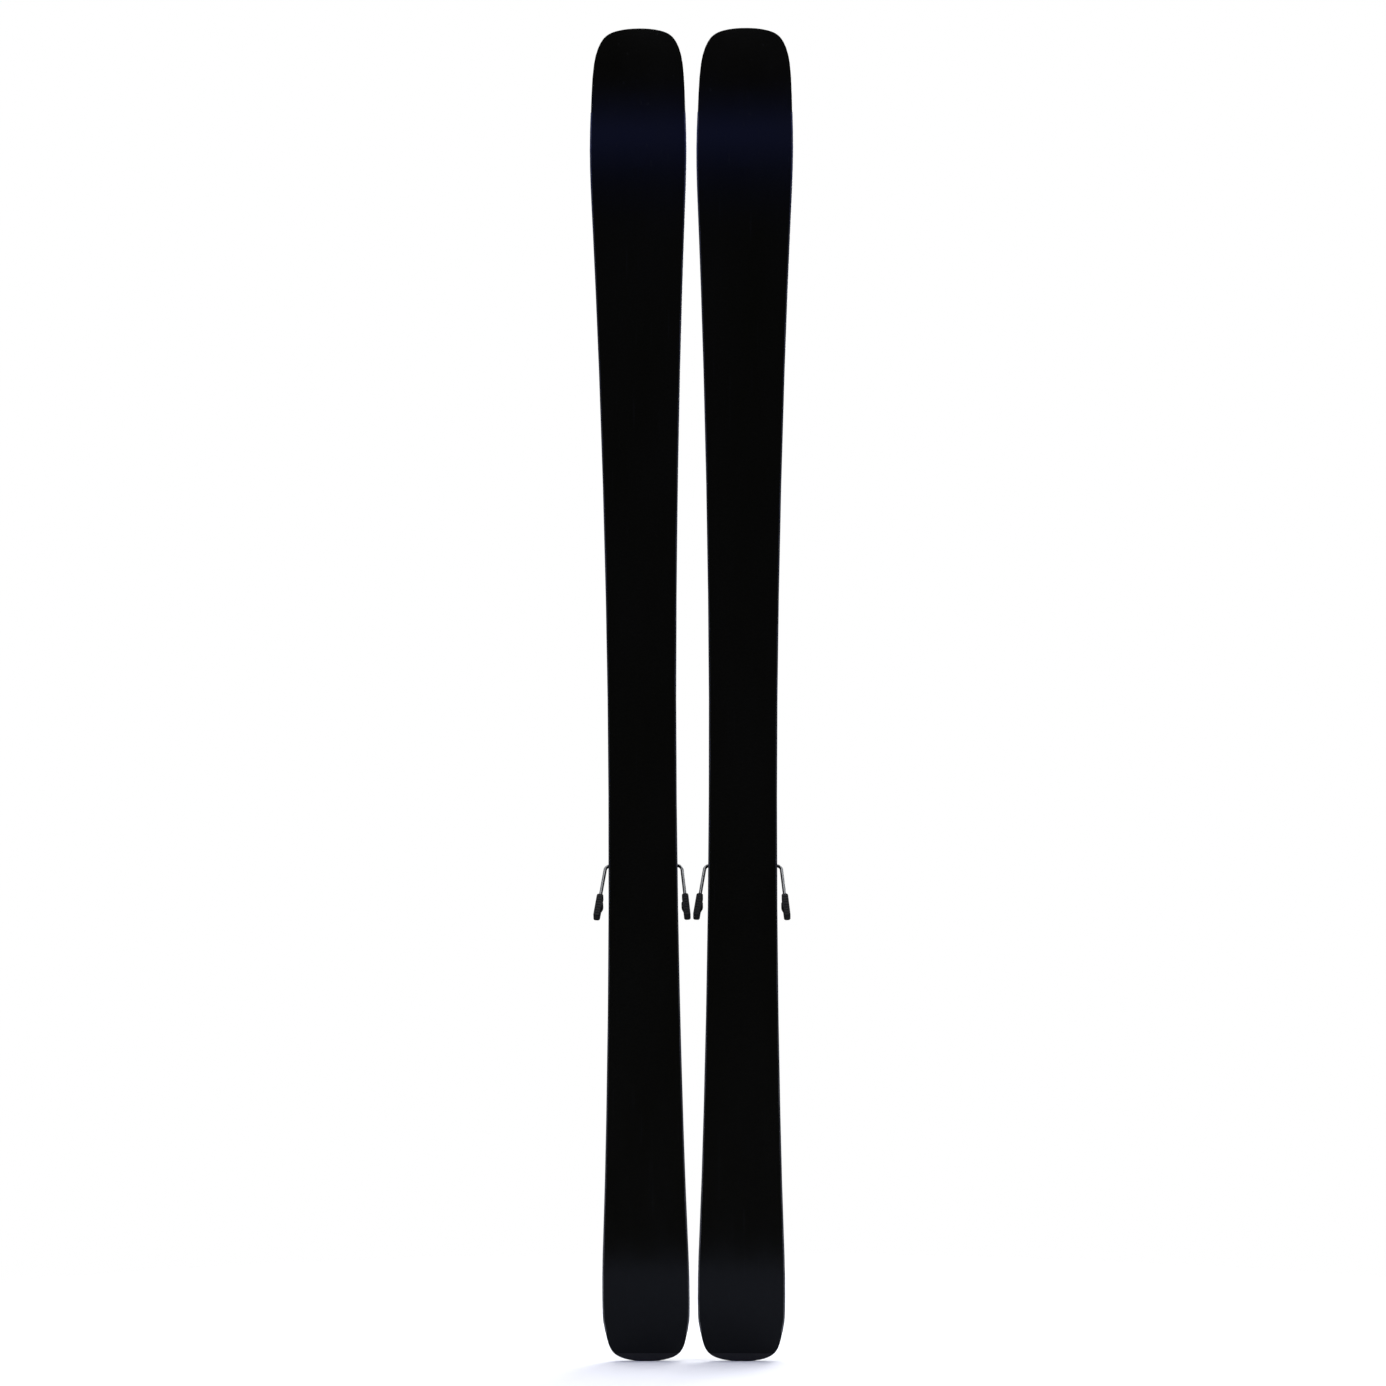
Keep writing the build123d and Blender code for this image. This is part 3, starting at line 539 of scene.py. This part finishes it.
# ---------------------------------------------------------------- small parts of the bindings
LEVER_END_Y, LEVER_END_Z, LEVER_RISE = 85.0, 558.0, 9 / 30     # the lever's upper face
LEVER_POLE_Z = 541.0       # middle of the place for the pole's tip
PEDAL_FRAME_Y, PEDAL_FRAME_Z = 58.64, 687.2    # the pedal's crossbar at rest
PEDAL_SLOPE = math.radians(44.87)
ARM_TILT = math.radians(50.0)                  # the brake's arms at rest
ARM_X, ARM_SLOPE = 50.6, 9.2 / 98              # where they start, and how far they spread
FOOT_MIDDLE = 82.8         # along the arm from the axle
FOOT_FACE, RIB_STEP = 4.9, 5.2
WINDOW_WIDTH, WINDOW_LENGTH, WINDOW_BORDER = 19.0, 12.5, 2.0
WINDOW_DEPTH, WINDOW_RAISED = 1.6, 0.7         # of the frame, which stands over the scale
SCALE_LENGTH, SCALE_TICKS = 12.6, 8            # from the first tick to the last, and their number
TOE_WINDOW_Z = 1014.5
HEEL_WINDOW_Y, HEEL_WINDOW_Z, HEEL_WINDOW_SLOPE = 82.6, 590.0, -math.atan2(3, 30)


def window(name, body, y, z, slope, marked):
    """A release-value window on a housing's top: frame, light scale, its ticks and a marker."""
    at = Matrix.Translation((0, y, z)) @ Matrix.Rotation(slope, 4, "X")
    attach(name, f"{body}_window_frame",
           frame_ring(WINDOW_WIDTH, WINDOW_LENGTH, WINDOW_BORDER, WINDOW_DEPTH), body, "rubber", 0.35,
           at @ Matrix.Translation((0, WINDOW_RAISED, 0)))
    attach(name, f"{body}_window_scale", bars([(0, 0, 0)], (15.2, 0.5, 8.7)), body, "scale", 0.0, at)
    middle = (SCALE_TICKS - 1) / 2
    marks = [((k - middle) * SCALE_LENGTH / (SCALE_TICKS - 1), 0.25, -2.2) for k in range(SCALE_TICKS)]
    attach(name, f"{body}_window_ticks", bars(marks, (0.45, 0.14, 3.4)), body, "nylon", 0.0, at)
    attach(name, f"{body}_window_marker", bars([(marks[marked][0], 0.3, 1.7)], (1.5, 0.2, 3.6)), body,
           "marker", 0.0, at)


def lever_height(z):
    """Height of the heel lever's upper face at z."""
    return LEVER_END_Y + (LEVER_END_Z - z) * LEVER_RISE


def foot_place(side):
    """The middle line of a brake's arm at rest, as a frame whose -Z runs towards the foot."""
    return (Matrix.Translation((0, AXLE_Y, AXLE_Z)) @ Matrix.Rotation(-ARM_TILT, 4, "X")
            @ Matrix.Translation((side * ARM_X, 0, 0))
            @ Matrix.Rotation(-side * math.atan(ARM_SLOPE), 4, "Y"))


for name in SIDES:
    window(name, "ski", TOE_COVER_TOP, TOE_WINDOW_Z, 0.0, marked=4)
    window(name, "heel_housing", HEEL_WINDOW_Y, HEEL_WINDOW_Z, HEEL_WINDOW_SLOPE, marked=5)

    # heel lever: a rim for the pole's tip and ribs on both sides of it
    lean = math.atan(LEVER_RISE)
    ribs = [(x, lever_height(z), z) for x in (-15.5, 15.5) for z in (532, 536.5, 541, 545.5, 550)]
    attach(name, "lever_ribs", bars(ribs, (11, 1.3, 1.7), lean), "heel_lever", "rubber", 0.4)
    dimple = (Matrix.Translation((0, lever_height(LEVER_POLE_Z) - 0.2, LEVER_POLE_Z))
              @ Matrix.Rotation(lean, 4, "X") @ Matrix.Translation((0, 0.9, 0)))
    attach(name, "lever_pole_rim", frame_ring(15, 15, 2.2, 1.4), "heel_lever", "grey", 0.4, dimple)

    # treadle, pedal and brake base: ribs that the boot's heel stands on
    treads = [(0, 37.1, z) for z in (645.5, 650, 654.5, 659, 663.5, 668)]
    attach(name, "treadle_ribs", bars(treads, (29, 0.9, 1.5)), "heel_housing", "rubber", 0.25)
    on_pedal = Matrix.Translation((0, PEDAL_FRAME_Y, PEDAL_FRAME_Z)) @ Matrix.Rotation(PEDAL_SLOPE, 4, "X")
    grips = [(0, 5.1, z) for z in (-2, 2.5, 7, 11.5, 16, 20.5, 25)]
    attach(name, "pedal_ribs", bars(grips, (46, 1.0, 1.6)), "brake_pedal", "rubber", 0.3, on_pedal)
    ribs = [(x, 25.2, 712) for x in (-23.5, -20.5, 20.5, 23.5)]
    attach(name, "brake_base_ribs", bars(ribs, (1.2, 1.1, 66)), "heel_carriage", "nylon", 0.3)

    # ribs across both faces of each brake foot
    for side in (-1, 1):
        label = "outer" if side == SIDES[name] else "inner"
        ribs = [(0, face * FOOT_FACE, k * RIB_STEP - FOOT_MIDDLE) for face in (-1, 1) for k in range(-3, 4)]
        attach(name, f"foot_ribs_{label}", bars(ribs, (5.6, 1.0, 1.5)), "brake", "brake", 0.3,
               foot_place(side))

    # heel: slanted grips on the housing's sides, washers on its axle, the sole-length scale
    grips = [(x, y, z) for x in (-20, 20) for y, z in ((48, 622), (54, 620), (60, 618))]
    attach(name, "heel_side_grips", bars(grips, (1.2, 2.2, 24), math.radians(-12)), "heel_housing", "grey",
           0.5)
    attach(name, "heel_axle_washers", discs([(-28.3, 46, 596), (28.3, 46, 596)], 5.6, 0.8), "heel_carriage",
           "steel", 0.15)
    marks = [(x, 29.0, z) for x in (-25.5, 25.5) for z in range(622, 650, 3)]
    attach(name, "sole_length_scale", bars(marks, (3.2, 0.16, 0.5)), "heel_carriage", "scale")

    # toe piece: ribs on the pedestal's sides, the heads of the wings' pins on the cover
    ribs = [(x, 26.5, z) for x in (-29, 29) for z in (931, 936, 941, 946, 951, 956, 961)]
    attach(name, "toe_base_ribs", bars(ribs, (0.9, 9, 1.6)), "ski", "nylon", 0.25)
    heads = [(x, TOE_COVER_TOP + 0.3, 1003) for x in (-19, 19)]
    attach(name, "toe_pin_caps", discs(heads, 4.4, 0.9, "Y"), "ski", "steel", 0.3)

# ---------------------------------------------------------------- floor, light and camera
VIEW_HEIGHT = 0.892        # the camera looks level at this height, a little above the middle
VIEW_DISTANCE = 8.0
VIEW_ASIDE = 0.0003
VIEW_SPAN = 1.850          # what the frame takes in at the skis
CAMERA_TURN = 1.6          # degrees to the right of square-on
CAMERA_ROLL = 0.12         # degrees
SENSOR = 36.0
FLOOR_SOLID = 0.7          # the floor is solid out to this radius
FLOOR_FADED = 1.55         # and has faded to white at this one
FLOOR_END = 1.6


def make_floor():
    """A pale floor that fades into the white surroundings."""
    bm = bmesh.new()
    bmesh.ops.create_circle(bm, cap_ends=True, segments=96, radius=FLOOR_END)
    floor = object_from(bm, "floor")
    n = Nodes("floor_paint")
    cloud = n.noise(1.3, 4, 0.6)
    far = n.add("ShaderNodeVectorMath", operation="LENGTH")
    n.link(n.coords, far.inputs[0])
    n.set(Base_Color=n.ramp(cloud, (0.86, 0.86, 0.865), (0.89, 0.89, 0.895), 0.3, 0.7), Roughness=0.85,
          Specular_IOR_Level=0.1, Alpha=n.span(far.outputs["Value"], 1, 0, FLOOR_SOLID, FLOOR_FADED))
    floor.data.materials.append(n.material)


BEHIND = (0.62, 0.64, 0.67, 1)         # the light from behind the skis
# what lies in front, as heights (1 is straight up, 0 level) and colours: ground, band, ceiling
FRONT_GROUND = (0.08, (0.16, 0.15, 0.09, 1))
FRONT_BAND = ((0.26, (0.1, 0.14, 0.4, 1)), (0.44, (0.5, 0.62, 1.9, 1)), (0.56, (0.16, 0.2, 0.6, 1)),
              (0.66, (0.0, 0.0, 0.0, 1)))
FRONT_CEILING = (1.0, (0.05, 0.05, 0.055, 1))
FRONT_SOLID, FRONT_END = -0.62, 0.1    # the front gives way to what is behind between these, along Y


def make_world():
    """White to look at. As light it is even behind the skis, and dark in front of their bases
    but for a bluish band above level, as a window would give."""
    world = bpy.data.worlds.new("studio")
    bpy.context.scene.world = world
    world.use_nodes = True
    tree = world.node_tree
    tree.nodes.clear()
    new, link = tree.nodes.new, tree.links.new
    parts = new("ShaderNodeSeparateXYZ")
    link(new("ShaderNodeTexCoord").outputs["Generated"], parts.inputs[0])

    band = new("ShaderNodeValToRGB")
    link(parts.outputs["Z"], band.inputs["Fac"])
    ends = band.color_ramp.elements
    ends[0].position, ends[0].color = FRONT_GROUND
    ends[1].position, ends[1].color = FRONT_CEILING
    for place, colour in FRONT_BAND:
        ends.new(place).color = colour

    front = new("ShaderNodeMapRange")
    front.interpolation_type = "SMOOTHSTEP"
    front.inputs["From Min"].default_value = FRONT_SOLID
    front.inputs["From Max"].default_value = FRONT_END
    link(parts.outputs["Y"], front.inputs["Value"])
    light = new("ShaderNodeMix")
    light.data_type = "RGBA"
    link(front.outputs["Result"], light.inputs["Factor"])
    link(band.outputs["Color"], light.inputs[6])
    light.inputs[7].default_value = BEHIND

    glow, seen = new("ShaderNodeBackground"), new("ShaderNodeBackground")
    link(light.outputs[2], glow.inputs["Color"])
    pick = new("ShaderNodeMixShader")
    link(new("ShaderNodeLightPath").outputs["Is Camera Ray"], pick.inputs["Fac"])
    link(glow.outputs[0], pick.inputs[1])
    link(seen.outputs[0], pick.inputs[2])
    seen.inputs["Color"].default_value = (1, 1, 1, 1)
    link(pick.outputs[0], new("ShaderNodeOutputWorld").inputs["Surface"])


def area_light(name, place, target, size, power):
    """A white rectangular lamp of that size, in metres and watts, aimed at a target."""
    data = bpy.data.lights.new(name, "AREA")
    data.shape = "RECTANGLE"
    data.size, data.size_y = size
    data.energy = power
    lamp = bpy.data.objects.new(name, data)
    bpy.context.collection.objects.link(lamp)
    lamp.location = place
    lamp.rotation_euler = (Vector(target) - Vector(place)).to_track_quat("-Z", "Y").to_euler()


def make_camera():
    data = bpy.data.cameras.new("camera")
    data.sensor_width = SENSOR
    data.lens = SENSOR * VIEW_DISTANCE / VIEW_SPAN
    camera = bpy.data.objects.new("camera", data)
    bpy.context.collection.objects.link(camera)
    turn = math.radians(CAMERA_TURN)
    camera.location = (VIEW_ASIDE + VIEW_DISTANCE * math.sin(turn), -VIEW_DISTANCE * math.cos(turn),
                       VIEW_HEIGHT)
    camera.rotation_euler = (math.radians(90), math.radians(CAMERA_ROLL), turn)
    bpy.context.scene.camera = camera


make_floor()
make_world()
area_light("overhead", place=(0, 0.4, 4.6), target=(0, 0, 0.6), size=(3.4, 3.0), power=150)
area_light("left", place=(-3.4, -1.2, 2.4), target=(0, 0, 0.8), size=(1.4, 2.4), power=45)
area_light("right", place=(3.6, -0.9, 2.0), target=(0, 0, 0.8), size=(1.4, 2.4), power=32)
area_light("behind", place=(1.4, 3.6, 2.4), target=(0, 0, 0.9), size=(1.8, 1.8), power=75)
make_camera()
bpy.context.scene.view_settings.view_transform = "Standard"
